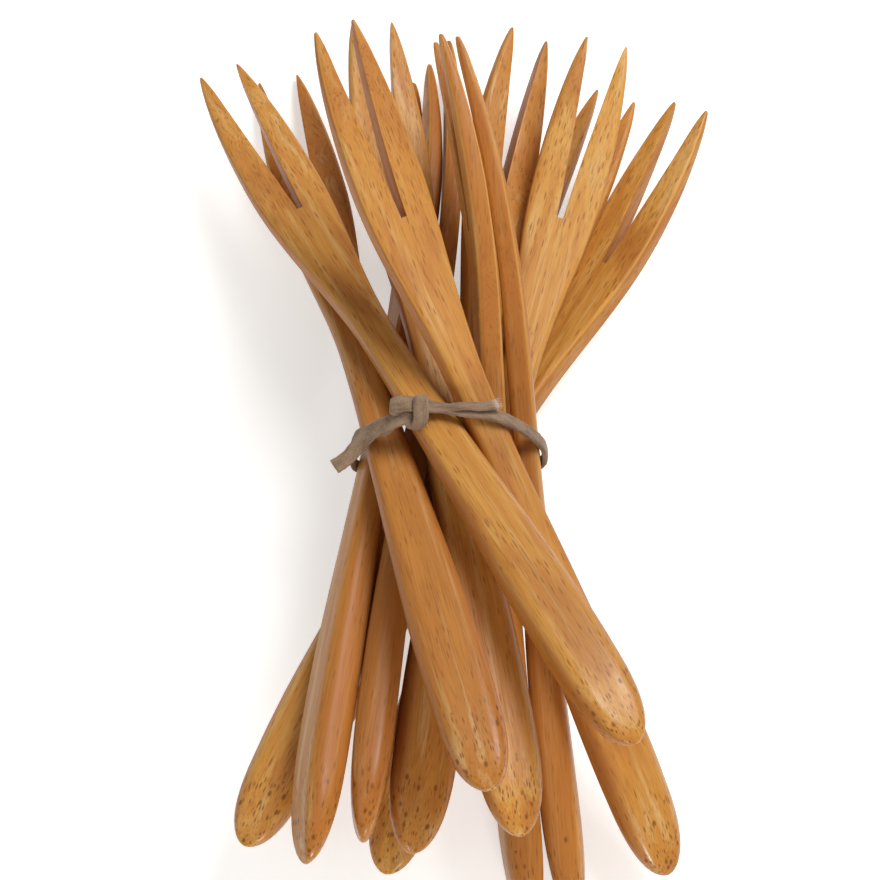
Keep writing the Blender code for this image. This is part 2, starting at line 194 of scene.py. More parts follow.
def half_width(size, s):
    """Half the width of the fork's outline at s from the handle end."""
    s = np.asarray(s, float)
    grip, neck, head = size.handle_width / 2, size.neck_width / 2, size.head_width / 2
    tip = (size.tip_spacing + size.tip_width) / 2
    widest, waist, swell = size.handle_widest_at, size.neck_at, size.head_widest_at
    handle_end = grip * rounded_end(size, s, *END_IN_WIDTH)
    handle = grip + (neck - grip) * ease((s - widest) / (waist - widest))
    shoulder = neck + (head - neck) * ease((s - waist) / (swell - waist))
    tines = head - (head - tip) * along_tines(size, s) ** TINES_IN_WIDTH
    return np.select([s < widest, s < waist, s < swell], [handle_end, handle, shoulder], tines)


def half_thickness(size, s):
    """Half the thickness of the fork at s from the handle end."""
    s = np.asarray(s, float)
    grip, neck = size.handle_thickness, size.neck_thickness
    head, tip = size.head_thickness, size.tip_thickness
    widest, waist, swell = size.handle_widest_at, size.neck_at, size.head_widest_at
    handle_end = grip * rounded_end(size, s, *END_IN_THICKNESS)
    handle = grip + (neck - grip) * ease((s - widest) / (waist - widest))
    shoulder = neck + (head - neck) * ease((s - waist) / (swell - waist))
    tines = head - (head - tip) * along_tines(size, s) ** TINES_IN_THICKNESS
    return np.select([s < widest, s < waist, s < swell], [handle_end, handle, shoulder], tines) / 2


def rise(size, s):
    """Height of the fork's middle line at s from the handle end."""
    head = np.clip((s - size.rise_starts_at) / (size.length - size.rise_starts_at), 0, 1)
    end = np.clip(1 - s / size.droop_ends_at, 0, 1)
    return float(size.head_rise * head**2 - size.end_droop * end**2)


def edge_radius(size, s, a, b):
    """Round of the long edges at s: soft on the grip, crisp on the head."""
    softness = 1 - ease((s - size.handle_widest_at) / (size.head_widest_at - size.handle_widest_at))
    radius = size.head_edge_radius + (size.grip_edge_radius - size.head_edge_radius) * softness
    return min(float(radius), 0.9 * a, 0.9 * b)


def section(size, s, corner_points, shrink=0.0, fuller=0.0):
    """Points round the fork at s: a rectangle with round corners, in fork coordinates."""
    a = float(half_width(size, s)) + fuller - shrink
    b = float(half_thickness(size, s)) - shrink
    r = edge_radius(size, s, a, b)
    points = []
    for corner, (side, face) in enumerate(((1, 1), (-1, 1), (-1, -1), (1, -1))):
        for step in range(corner_points):
            angle = pi / 2 * (corner + step / (corner_points - 1))
            x = (a - r) * side + r * cos(angle)
            z = (b - r) * face + r * sin(angle) + rise(size, s)
            points.append(Vector((x, s, z)))
    return points


def stations(size, end_steps, body_steps):
    """Places along the fork, close together where the handle end rounds off."""
    widest = size.handle_widest_at
    end = [widest * (1 - cos(pi / 2 * (k + 0.35) / end_steps)) for k in range(end_steps)]
    return end + list(np.linspace(widest, size.length, body_steps))


def loft(bm, rings):
    """Bridges rings of points in order, and caps both ends."""
    loops = []
    for ring in rings:
        verts = [bm.verts.new(p) for p in ring]
        loops.append([bm.edges.new((a, b)) for a, b in zip(verts, verts[1:] + verts[:1])])
    for a, b in zip(loops, loops[1:]):
        bmesh.ops.bridge_loops(bm, edges=a + b)
    for end in (loops[0], loops[-1]):
        bmesh.ops.contextual_create(bm, geom=end)
    bmesh.ops.recalc_face_normals(bm, faces=bm.faces)


def to_mesh(bm, name):
    """The bmesh as a mesh."""
    mesh = bpy.data.meshes.new(name)
    bm.to_mesh(mesh)
    bm.free()
    return mesh


def new_object(name, mesh):
    """A named object that shows the mesh in the scene."""
    thing = bpy.data.objects.new(name, mesh)
    bpy.context.scene.collection.objects.link(thing)
    return thing


def slot_cutter(size):
    """The wedge between the tines: square at its root and open at the tips."""
    root = size.length - size.slot_length
    right = [(inner_edge(size, t), root + size.slot_length * t) for t in np.linspace(0, 1, 6)]
    right.append((inner_edge(size, 1) + size.slot_width / 4, size.length + size.slot_width))
    outline = right + [(-x, y) for x, y in reversed(right)]
    low, high = -size.head_thickness, size.head_rise + size.head_thickness
    bm = bmesh.new()
    loft(bm, [[Vector((x, y, z)) for x, y in outline] for z in (low, high)])
    return new_object("slot_cutter", to_mesh(bm, "slot_cutter"))


def slotted(size, rings):
    """The lofted blank with the slot sawn into its head."""
    bm = bmesh.new()
    loft(bm, rings)
    blank = new_object("fork_blank", to_mesh(bm, "fork_blank"))
    cutter = slot_cutter(size)
    cut = blank.modifiers.new("slot", "BOOLEAN")
    cut.operation = "DIFFERENCE"
    cut.solver = "EXACT"
    cut.object = cutter
    evaluated = blank.evaluated_get(bpy.context.evaluated_depsgraph_get())
    mesh = bpy.data.meshes.new_from_object(evaluated)
    for thing in (blank, cutter):
        bpy.data.objects.remove(thing)
    return mesh


def pattern_fork(size):
    """The fork as the bundle was packed with it: the measure that finds each fork's place."""
    return slotted(size, [section(size, s, PATTERN_EDGE) for s in stations(size, *PATTERN_RINGS)])


def plump(size, s):
    """How much further out each side of the worn handle end is at s than in the pattern."""
    t = np.clip(s / (0.7 * size.handle_widest_at), 0, 1) ** 0.5
    return float(size.end_plump * 4 * t * (1 - t))


def inner_edge(size, t):
    """Half the gap between the tines, from 0 at the slot's root to 1 at the tips."""
    inner_tip, half = (size.tip_spacing - size.tip_width) / 2, size.slot_width / 2
    return half + (inner_tip - half) * t**SLOT_IN_WIDTH


def point_tips(size, bm):
    """Sands each tine's last stretch to a rounded point."""
    root = size.length - size.slot_length
    for vert in bm.verts:
        x, s, z = vert.co
        t = (s - size.length) / size.tip_taper + 1
        if t > 0:
            middle = (float(half_width(size, s)) + inner_edge(size, (s - root) / size.slot_length)) / 2
            middle = middle if x > 0 else -middle
            slim = max(1 - t**2, 0.0) ** 0.5 * 0.75 + 0.25
            vert.co.x = middle + (x - middle) * slim
            vert.co.z = rise(size, s) + (z - rise(size, s)) * (slim * 0.9 + 0.1)


def fine_fork(size):
    """The fork with close rings, rounded tips and the edges of its slot broken."""
    places = stations(size, *FINE_RINGS)
    rings = [section(size, s, FINE_EDGE, fuller=plump(size, s)) for s in places[:-1]]
    for step in range(4):
        angle = pi / 2 * step / 3
        back, shrink = (size.slot_edge * (1 - part) for part in (sin(angle), cos(angle)))
        rings.append(section(size, size.length - back, FINE_EDGE, shrink))
    mesh = slotted(size, rings)
    bm = bmesh.new()
    bm.from_mesh(mesh)
    bpy.data.meshes.remove(mesh)
    bmesh.ops.remove_doubles(bm, verts=bm.verts, dist=5e-6)
    root = size.length - size.slot_length
    for side in HEAD_CUTS:
        bmesh.ops.bisect_plane(
            bm, geom=bm.verts[:] + bm.edges[:] + bm.faces[:], dist=1e-6,
            plane_co=(side * MM, 0, 0), plane_no=(1, 0, 0),
        )
    sawn = [
        edge
        for edge in bm.edges
        if edge.calc_face_angle(0) > SAWN_ANGLE and all(v.co.y > root - MM for v in edge.verts)
    ]
    bmesh.ops.bevel(
        bm, geom=sawn, offset=size.slot_edge / 2, segments=2, profile=0.5, affect="EDGES",
        material=-1, clamp_overlap=True,
    )
    point_tips(size, bm)
    wide = [face for face in bm.faces if len(face.verts) > 4]
    bmesh.ops.triangulate(bm, faces=wide, quad_method="BEAUTY", ngon_method="BEAUTY")
    bmesh.ops.recalc_face_normals(bm, faces=bm.faces)
    return to_mesh(bm, "fine_fork")


# Each fork's board, in the order of the forks: its tint from pale to deep, and how far from the handle
# end, in metres, a joint of the cane crosses it. A joint past the tips isn't in that fork.
BOARDS = (
    (0.28, 0.198), (0.85, 0.190), (0.45, 0.202), (0.28, 0.240), (0.62, 0.118), (0.80, 0.196),
    (0.45, 0.150), (0.50, 0.157), (0.62, 0.170), (0.00, 0.240), (0.25, 0.180), (0.00, 0.240),
)
# From one fork to the next, how far its grain is shifted in its board.
GRAIN_STEP = (0.0371, 0.113, 0.0517)
# A joint's curled grain: how far it reaches along the fork, the size of its curls and how far they bend.
JOINT_REACH, CURL_SIZE, CURL_BEND = 0.009, 0.006, 0.0035
# Hand sanding wavers over this much of the fork's width and length.
WAVER_WIDE, WAVER_LONG = 0.02, 0.035
# Metres times this give noise that differs from fork to fork.
NOISE_SHIFT = 100


def surface_frame(mesh):
    """The middle and the main axes of a mesh's skin: along it, then across, then through."""
    mesh.calc_loop_triangles()
    spots = np.array([v.co for v in mesh.vertices])
    corners = spots[[t.vertices[:] for t in mesh.loop_triangles]]
    sides = corners[:, 1:] - corners[:, :1]
    area = np.linalg.norm(np.cross(sides[:, 0], sides[:, 1]), axis=1) / 2
    middle = area @ corners.mean(axis=1) / area.sum()
    spread = corners - middle
    total = spread.sum(axis=1)
    moments = np.einsum("n,nij,nik->jk", area, spread, spread)
    moments = moments + np.einsum("n,nj,nk->jk", area, total, total)
    axes = np.linalg.eigh(moments)[1][:, ::-1]
    skew = (area[:, None] * (spread.mean(axis=1) @ axes) ** 3).sum(axis=0)
    along, through = axes[:, 0] * np.sign(skew[0]), axes[:, 2] * np.sign(skew[2])
    frame_axes = np.column_stack([along, np.cross(through, along), through])
    return Matrix.Translation(middle) @ Matrix(frame_axes.tolist()).to_4x4()


def own_mesh(size, fine, place, name, seed):
    """A fork's own mesh in its place, hand-sanded a little and marked for its grain.

    "grain" runs with the fork: across, along and through it, curled round the joint of the cane.
    "finish" holds the fork's tint, how far the skin turns to its edge, and the way along it.
    """
    bm = bmesh.new()
    bm.from_mesh(fine)
    bm.normal_update()
    grain = bm.verts.layers.float_vector.new("grain")
    finish = bm.verts.layers.float_vector.new("finish")
    offset = Vector([seed * step for step in GRAIN_STEP])
    tint, joint_at = BOARDS[seed]
    for vert in bm.verts:
        spot = vert.co.copy()
        near_joint = np.exp(-(((spot.y - joint_at) / JOINT_REACH) ** 2))
        curl = noise.noise_vector(spot / CURL_SIZE + offset * NOISE_SHIFT) * CURL_BEND * near_joint
        vert[grain] = spot + curl + offset
        vert[finish] = (tint, abs(vert.normal.x), spot.y / size.length)
        wave = Vector((spot.x / WAVER_WIDE, spot.y / WAVER_LONG, spot.z / WAVER_WIDE))
        stray = noise.noise_vector(wave + offset * NOISE_SHIFT)
        inward = Vector((-spot.x, 0, 0)).normalized() * abs(stray.x)
        vert.co = spot + inward * size.waver
    bmesh.ops.transform(bm, matrix=place, verts=bm.verts)
    for edge in bm.edges:
        edge.smooth = edge.calc_face_angle(0) < CRISP_ANGLE
    for face in bm.faces:
        face.smooth = True
    return to_mesh(bm, name)


# Width and length of the bamboo's marks, in millimetres: the cells that hold one fleck, dash or dot
# each, and the waves of its streaks, fibres and clouds.
BAMBOO_MARKS = {
    "flecks": (0.80, 4.8),
    "dashes": (0.90, 14.0),
    "dots": (1.5, 2.6),
    "streaks": (2.4, 70.0),
    "fibres": (0.32, 11.0),
    "clouds": (7.0, 28.0),
}
# What each level follows, between which two values of it, and the level it has at the one and at the
# other. "edge" is 0 on the wide faces and 1 on the narrow ones, "along" is 0 at the handle end and 1 at
# the tips. Handle ends are handled most, so "polish" gives them the tightest gloss.
BAMBOO_LEVELS = {
    "warm": ("streaks", 0.42, 0.66, 0, 0.75),
    "bleach": ("streaks", 0.50, 0.28, 0, 0.6),
    "cloudy": ("clouds", 0.50, 0.66, 0, 0.6),
    # The narrow faces are darkened towards the edge colour as painted shade on the side walls.
    "painted_side_shade": ("edge", 0.35, 0.95, 0, 0.6),
    "fibrous": ("fibres", 0.46, 0.72, 0, 0.6),
    "tips": ("along", 0.66, 0.84, 0, 0.45),
    "ends": ("along", 0.11, 0.05, 0, 0.8),
    "crowd": ("clouds", 0.35, 0.65, 0.14, 0.62),
    "from_neck": ("along", 0.55, 0.68, 0, 1),
    "before_slot": ("along", 0.86, 0.76, 0, 1),
    # The rim levels pick out the rounded edges of the head, for a painted highlight along them.
    "rim_starts": ("edge", 0.40, 0.60, 0, 1),
    "rim_stops": ("edge", 0.92, 0.70, 0, 1),
    "on_head": ("along", 0.45, 0.7, 0, 0.55),
    "polish": ("along", 0.02, 0.14, -0.13, 0),
    "satin": ("streaks", 0.3, 0.7, 0.36, 0.50),
}
# Sums and products of the levels.
BAMBOO_MEETINGS = {
    "denser": ("ADD", "tips", "ends"),
    "flecked": ("ADD", "crowd", "denser"),
    "below_slot": ("MULTIPLY", "from_neck", "before_slot"),
    "dotted": ("MULTIPLY", "ends", "crowd"),
    "rim": ("MULTIPLY", "rim_starts", "rim_stops"),
    "painted_rim_highlight": ("MULTIPLY", "rim", "on_head"),
    "roughness": ("ADD", "satin", "polish"),
}
# Dark cut ends of fibre bundles, one in a cell: the parts of the cell at which a mark is full and gone,
# the level that says how many cells have one, and how dark it is.
BAMBOO_SPECKS = {
    "flecks": (0.12, 0.36, "flecked", 0.8),
    "dashes": (0.08, 0.24, "lined", 0.6),
    "dots": (0.15, 0.42, "dotted", 0.8),
}
# The colours laid over the pale board, from the first to the last, each with the level that places it.
BAMBOO_LAYERS = (
    ("deep", "tint"),
    ("streak", "warm"),
    ("bleached", "bleach"),
    ("deep", "cloudy"),
    # Painted shade on the narrow side faces.
    ("edge", "painted_side_shade"),
    ("fleck", "fibrous"),
    ("fleck", "dashes"),
    ("cut_end", "flecks"),
    ("fibre", "dots"),
    # Painted highlight: a pale line along the head's rounded edges.
    ("pale", "painted_rim_highlight"),
)

# Settings that several nodes share.
MULTIPLY, ADD = {"operation": "MULTIPLY"}, {"operation": "ADD"}
COLOURS = {"data_type": "RGBA"}
SMOOTH = {"interpolation_type": "SMOOTHSTEP"}


def add_node(tree, kind, settings=None, **links):
    """Adds a node, sets its properties, and links or sets its inputs by name."""
    node = tree.nodes.new(kind)
    for key, value in (settings or {}).items():
        setattr(node, key, value)
    for key, value in links.items():
        socket = node.inputs[int(key[1:])] if key[0] == "i" and key[1:].isdigit() else node.inputs[key]
        if isinstance(value, bpy.types.NodeSocket):
            tree.links.new(value, socket)
        else:
            socket.default_value = value
    return node


def new_material(name):
    """An empty node material and its Principled shader."""
    material = bpy.data.materials.new(name)
    material.use_nodes = True
    return material, material.node_tree, material.node_tree.nodes["Principled BSDF"]


# The lace's section: how round its corners are, against half its thickness.
LACE_SOFTNESS = 0.8


def strip_ring(spot, face, across, half_wide, half_thick):
    """The lace's section at a spot: a flat strip with soft corners."""
    r = half_thick * LACE_SOFTNESS
    ring = []
    for corner, (side, top) in enumerate(((1, 1), (-1, 1), (-1, -1), (1, -1))):
        for step in range(4):
            angle = pi / 2 * (corner + step / 3)
            out = (half_wide - r) * side + r * cos(angle)
            ring.append(spot + across * out + face * ((half_thick - r) * top + r * sin(angle)))
        if corner % 2 == 0:
            for inset in (0.5, 0, -0.5):
                ring.append(spot + across * (half_wide - r) * inset * side + face * half_thick * top)
    return ring


# The knot and the loose ends lie in this much of the solid lace's height, from its top.
KNOT_HEIGHT = 12 * MM


def tie_plane(lace):
    """The plane that the lace's turn lies in: X across the bundle, Y to the heads, Z up."""
    spots = np.array([v.co for v in lace.data.vertices])
    low = spots[spots[:, 2] < spots[:, 2].max() - KNOT_HEIGHT]
    middle = low.mean(axis=0)
    normal = Vector(np.linalg.svd(low - middle)[2][2])
    if normal.y < 0:
        normal = -normal
    across = (Vector((1, 0, 0)) - normal * normal.x).normalized()
    axes = Matrix((across, normal, across.cross(normal))).transposed()
    return Matrix.Translation(middle) @ axes.to_4x4()


def wood_at(plane, width):
    """Where the forks are cut by the strip of the lace's plane, seen along the bundle."""
    inverse = plane.inverted()
    spots = []
    for name in FORKS:
        for slip in (-width / 2, 0, width / 2):
            bm = bmesh.new()
            bm.from_mesh(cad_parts[name].data)
            bmesh.ops.transform(bm, matrix=inverse, verts=bm.verts)
            cut = bmesh.ops.bisect_plane(
                bm, geom=bm.verts[:] + bm.edges[:] + bm.faces[:],
                plane_co=(0, slip, 0), plane_no=(0, 1, 0),
            )
            spots += [(v.co.x, v.co.z) for v in cut["geom_cut"] if isinstance(v, bmesh.types.BMVert)]
            bm.free()
    return np.array(spots)


# Spots round the belt.
BELT_STEPS = 240
# The belt is rounded off, and then let out by this much of what it would cut off.
LET_OUT = 1.5


def belt(plane, looks):
    """Spots and outward directions of a belt drawn tight round the forks.

    It runs anticlockwise, seen from the handles.
    """
    angles = np.linspace(0, 2 * pi, BELT_STEPS, endpoint=False)
    outs = np.column_stack([np.cos(angles), np.sin(angles)])
    tight = (wood_at(plane, looks.width) @ outs.T).max(axis=0) + looks.clearance + looks.thickness / 2
    reach = rounded_off(tight)
    reach = reach + rounded_off(np.maximum(tight - reach, 0)) * LET_OUT
    slope = (np.roll(reach, -1) - np.roll(reach, 1)) / (2 * angles[1])
    track = []
    for (c, d), r, tilt in zip(outs, reach, slope):
        spot = Vector((r * c - tilt * d, 0, r * d + tilt * c))
        track.append((plane @ spot, plane.to_3x3() @ Vector((c, 0, d))))
    return track


def rounded_off(values):
    """The values round a ring, each shared with its neighbours."""
    for _ in range(60):
        values = (np.roll(values, 1) + values * 2 + np.roll(values, -1)) / 4
    return values


def wood_tree():
    """The forks as one tree, to find what the lace lies on."""
    bm = bmesh.new()
    for name in FORKS:
        bm.from_mesh(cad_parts[name].data)
    tree = BVHTree.FromBMesh(bm)
    bm.free()
    return tree


# Higher than the bundle: where the rays that look for the forks start.
ABOVE_ALL = 0.2


def laid(tree, spot, looks, lift):
    """The spot raised, where a fork lies below it, to lie on that fork."""
    reach = looks.width * 0.45
    heights = [spot.z]
    for dx, dy in ((0, 0), (reach, 0), (-reach, 0), (0, reach), (0, -reach)):
        hit = tree.ray_cast(Vector((spot.x + dx, spot.y + dy, ABOVE_ALL)), Vector((0, 0, -1)))[0]
        if hit is not None:
            heights.append(hit.z + looks.clearance + looks.thickness / 2 + lift)
    return Vector((spot.x, spot.y, max(heights)))


def curve_through(stops, steps):
    """Spots, face directions and fullness along a Catmull-Rom curve through the stops."""
    ends = [stops[0], *stops, stops[-1]]
    run = []
    for a, b, c, d in zip(ends, ends[1:], ends[2:], ends[3:]):
        for t in np.linspace(0, 1, steps, endpoint=False):
            near = b[0] * 2 + (c[0] - a[0]) * t + (a[0] * 2 - b[0] * 5 + c[0] * 4 - d[0]) * t**2
            spot = (near + (b[0] * 3 - a[0] - c[0] * 3 + d[0]) * t**3) / 2
            run.append((spot, b[1].lerp(c[1], t), b[2].lerp(c[2], t)))
    return run + [stops[-1]]


def evened(run, spacing):
    """The run taken at even spacing, smoothed a little."""
    values = np.array([[*spot, *face, *full] for spot, face, full in run])
    walked = np.concatenate([[0], np.cumsum(np.linalg.norm(np.diff(values[:, :3], axis=0), axis=1))])
    even = np.linspace(0, walked[-1], int(walked[-1] / spacing))
    values = np.column_stack([np.interp(even, walked, column) for column in values.T])
    for _ in range(6):
        values[1:-1] = (values[:-2] + values[1:-1] * 2 + values[2:]) / 4
    return [(Vector(v[:3]), Vector(v[3:6]), Vector(v[6:])) for v in values]


# The knot. Each stop gives its place in millimetres from the knot's seat on the forks (to the right, to
# the heads and up), the way the lace's flat side faces, and how wide and how thick it is drawn there.
# The first run comes from the left tail, turns over the knot as its band and leaves to the right round
# the bundle; the second comes back on the left, folds into the bulge and lies over the first.
LEFT_TAIL = (
    ((-19.1, -10.1, -8.6), (-0.1, -0.3, 1.0), (1.15, 0.85)),
    ((-15.6, -7.8, -7.6), (0.0, -0.2, 1.0), (1.15, 0.85)),
    ((-12.5, -4.6, -5.4), (0.1, -0.4, 1.0), (1.2, 0.85)),
    ((-9.6, -2.8, -2.4), (-0.2, -0.3, 1.0), (1.25, 0.9)),
    ((-6.3, -2.0, 0.4), (-0.2, -0.2, 1.0), (1.2, 1.0)),
)
BAND = (
    ((-3.6, -1.4, 1.7), (-0.1, 0.0, 1.0), (1.1, 1.1)),
    ((-1.5, -0.8, 2.1), (0.3, -0.2, 0.9), (1.0, 1.2)),
    ((-0.8, -2.0, 1.5), (0.5, -0.7, 0.5), (1.1, 1.3)),
    ((0.5, -2.8, 1.7), (0.1, -1.0, 0.3), (1.0, 1.2)),
    ((1.4, -2.3, 3.7), (0.0, -0.7, 0.7), (1.1, 1.1)),
    ((1.5, -1.0, 5.0), (0.0, -0.25, 1.0), (1.15, 1.1)),
    ((1.5, 0.6, 5.5), (0.0, 0.1, 1.0), (1.15, 1.1)),
    ((1.5, 2.7, 4.7), (0.0, 0.6, 0.8), (1.1, 1.1)),
    ((1.8, 3.6, 2.7), (0.0, 1.0, 0.2), (1.0, 1.0)),
    ((3.2, 2.4, 0.9), (0.0, 0.3, 1.0), (0.8, 1.0)),
)
BULGE = (
    ((-7.2, -3.2, -1.0), (-0.2, -0.3, 1.0), (0.95, 1.0)),
    ((-4.4, -1.0, 0.2), (0.0, 0.0, 1.0), (1.0, 1.0)),
    ((-1.6, 0.9, 0.6), (0.0, 0.0, 1.0), (1.1, 1.0)),
    ((-0.7, 1.2, 1.4), (-1.0, 0.0, 0.0), (1.2, 1.0)),
    ((-1.6, 1.3, 2.1), (0.0, 0.0, -1.0), (1.2, 1.0)),
    ((-4.2, 1.3, 2.1), (0.0, 0.0, -1.0), (1.25, 1.1)),
    ((-5.3, 1.4, 2.9), (-1.0, 0.0, 0.0), (1.25, 1.2)),
    ((-4.2, 1.6, 3.7), (-0.1, 0.2, 1.0), (1.3, 1.2)),
    ((-1.9, 1.8, 4.0), (0.0, 0.2, 1.0), (1.3, 1.1)),
    ((0.6, 1.6, 3.7), (0.0, 0.1, 1.0), (1.1, 1.1)),
    ((2.8, 1.4, 2.9), (0.0, 0.1, 1.0), (0.9, 1.1)),
    ((4.8, 1.2, 2.1), (0.0, 0.1, 1.0), (0.72, 1.1)),
)
RIGHT_TAIL = (
    ((8.0, 1.3, 0.0), (0.0, 0.1, 1.0), (0.66, 1.0)),
    ((12.0, 1.2, 0.0), (0.0, 0.1, 1.0), (0.64, 1.0)),
    ((16.0, 1.3, 0.0), (0.0, 0.2, 1.0), (0.7, 1.0)),
    ((19.4, 2.3, 0.0), (0.0, 0.3, 1.0), (0.85, 0.9)),
)


# The belt stops this far short of the knot's seat, and over the first stretch to the right of it the
# lace is drawn narrower.
KNOT_ROOM = 7 * MM
NARROW_OVER = 16 * MM
NARROWER = 0.35
# Every sixth spot of the belt is a stop of the run, which is then taken at this even spacing.
BELT_STRIDE = 6
RUN_SPACING = 0.3 * MM


def lace_run(looks):
    """The lace's middle line, the way it faces and how full it is, from the left end to the right."""
    plane = tie_plane(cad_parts["tie_lace"])
    track = belt(plane, looks)
    tree = wood_tree()
    top = [k for k, (_, out) in enumerate(track) if out.z > 0.5]
    seat_at = min(top, key=lambda k: abs(track[k][0].x - looks.knot_at))
    seat = track[seat_at][0]

    def stops(table, lift=None):
        placed = []
        for spot, face, full in table:
            where = seat + Vector(spot) * MM
            if lift is not None:
                where = laid(tree, where, looks, lift)
            placed.append((where, Vector(face).normalized(), Vector(full)))
        return placed

    ring = []
    for spot, out in (track[seat_at:] + track[:seat_at])[::-BELT_STRIDE]:
        if (spot - seat).length > KNOT_ROOM:
            drawn_in = 0.0
            if out.z > 0.5 and spot.x > seat.x:
                drawn_in = float(1 - ease((spot.x - seat.x) / NARROW_OVER))
            ring.append((spot, out, Vector((1 - NARROWER * drawn_in, 1))))
    over = looks.thickness + looks.clearance
    way = stops(LEFT_TAIL, 0) + stops(BAND) + ring + stops(BULGE) + stops(RIGHT_TAIL, over)
    return evened(curve_through(way, 6), RUN_SPACING)


# The nap's unevenness: the size of its lumps and how far they stray, in millimetres.
NAP_LUMPS = ((1.1, 0.10), (0.4, 0.07))
# The right end is worn pale over this length.
WORN_LENGTH = 1.8 * MM
# A torn fibre of that end is this thick, half across, at its root and at its tip.
TORN_ROOT, TORN_TIP = 0.12 * MM, 0.03 * MM


def lace_mesh(run, looks):
    """The lace swept along its run, with a fuzzy, slightly uneven skin and a frayed right end."""
    rings = []
    spots = [spot for spot, _, _ in run]
    (broad, far), (close, near) = NAP_LUMPS
    for k, (spot, face, full) in enumerate(run):
        along = (spots[min(k + 1, len(run) - 1)] - spots[max(k - 1, 0)]).normalized()
        across = along.cross(face).normalized()
        half_wide, half_thick = looks.width / 2 * full.x, looks.thickness / 2 * full.y
        ring = strip_ring(spot, across.cross(along), across, half_wide, half_thick)
        rough = [
            noise.noise_vector(p / (broad * MM)) * far + noise.noise_vector(p / (close * MM)) * near
            for p in ring
        ]
        rings.append([p + stray * MM for p, stray in zip(ring, rough)])
    bm = bmesh.new()
    nap = bm.verts.layers.float_vector.new("nap")
    loft(bm, rings)
    bm.verts.ensure_lookup_table()
    size = len(rings[0])
    pitch = (spots[1] - spots[0]).length
    for k in range(len(run)):
        left = (len(run) - 1 - k) * pitch
        worn = float(ease(1 - left / WORN_LENGTH))
        for turn in range(size):
            bm.verts[k * size + turn][nap] = (looks.width * abs(turn / size - 0.5), k * pitch, worn)
    fray(bm, nap, rings[-1], (spots[-1] - spots[-2]).normalized())
    mesh = to_mesh(bm, "suede_lace")
    mesh.shade_smooth()
    return mesh


def fray(bm, nap, ring, along):
    """Torn fibres, 0.7 to 1.2 mm long, that stand out of the lace's end."""
    for k, spot in enumerate(ring):
        lean = (along + noise.noise_vector(spot / (0.2 * MM)) * 0.9).normalized()
        length = (0.7 + 0.5 * ((k * 7) % 5) / 4) * MM
        turned = lean.to_track_quat("Z", "Y").to_matrix().to_4x4()
        place = Matrix.Translation(spot + lean * length * 0.4) @ turned
        hair = bmesh.ops.create_cone(
            bm, cap_ends=True, segments=5, radius1=TORN_ROOT, radius2=TORN_TIP, depth=length, matrix=place
        )
        for vert in hair["verts"]:
            vert[nap] = (0, 0, 1)


